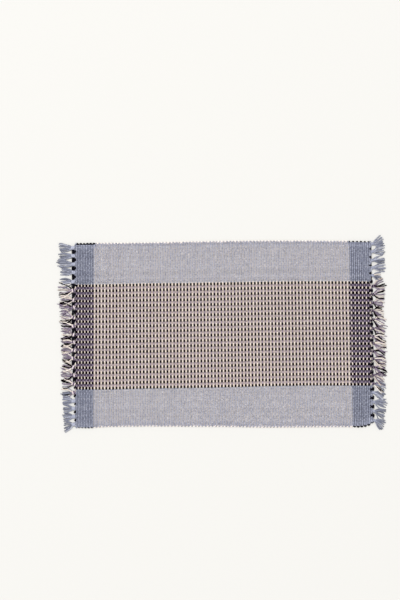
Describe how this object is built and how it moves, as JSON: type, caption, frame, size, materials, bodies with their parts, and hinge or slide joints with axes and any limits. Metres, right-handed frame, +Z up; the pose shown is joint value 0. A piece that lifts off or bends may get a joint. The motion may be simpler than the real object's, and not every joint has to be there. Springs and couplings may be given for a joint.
{
  "type": "fringed woven placemat",
  "caption": "Rectangular handwoven ribbed placemat with banded sides, a dashed middle, dark end stripes and a knotted fringe along both ends, lying flat",
  "frame": {"origin": "on the surface that the mat lies on, under the middle of its cloth", "axes": "+X along the warp from the left fringe to the right one, +Y across the bands to the upper long edge, +Z up out of the mat's face"},
  "size_m": [0.5417, 0.3179, 0.0041],
  "materials": {
    "cloth": "matte ribbed cotton weave",
    "fringe": "matte cotton yarn"
  },
  "bodies": {
    "root": {"woven_cloth": "cloth", "fringe_left": "fringe", "fringe_right": "fringe"}
  },
  "joints": []
}
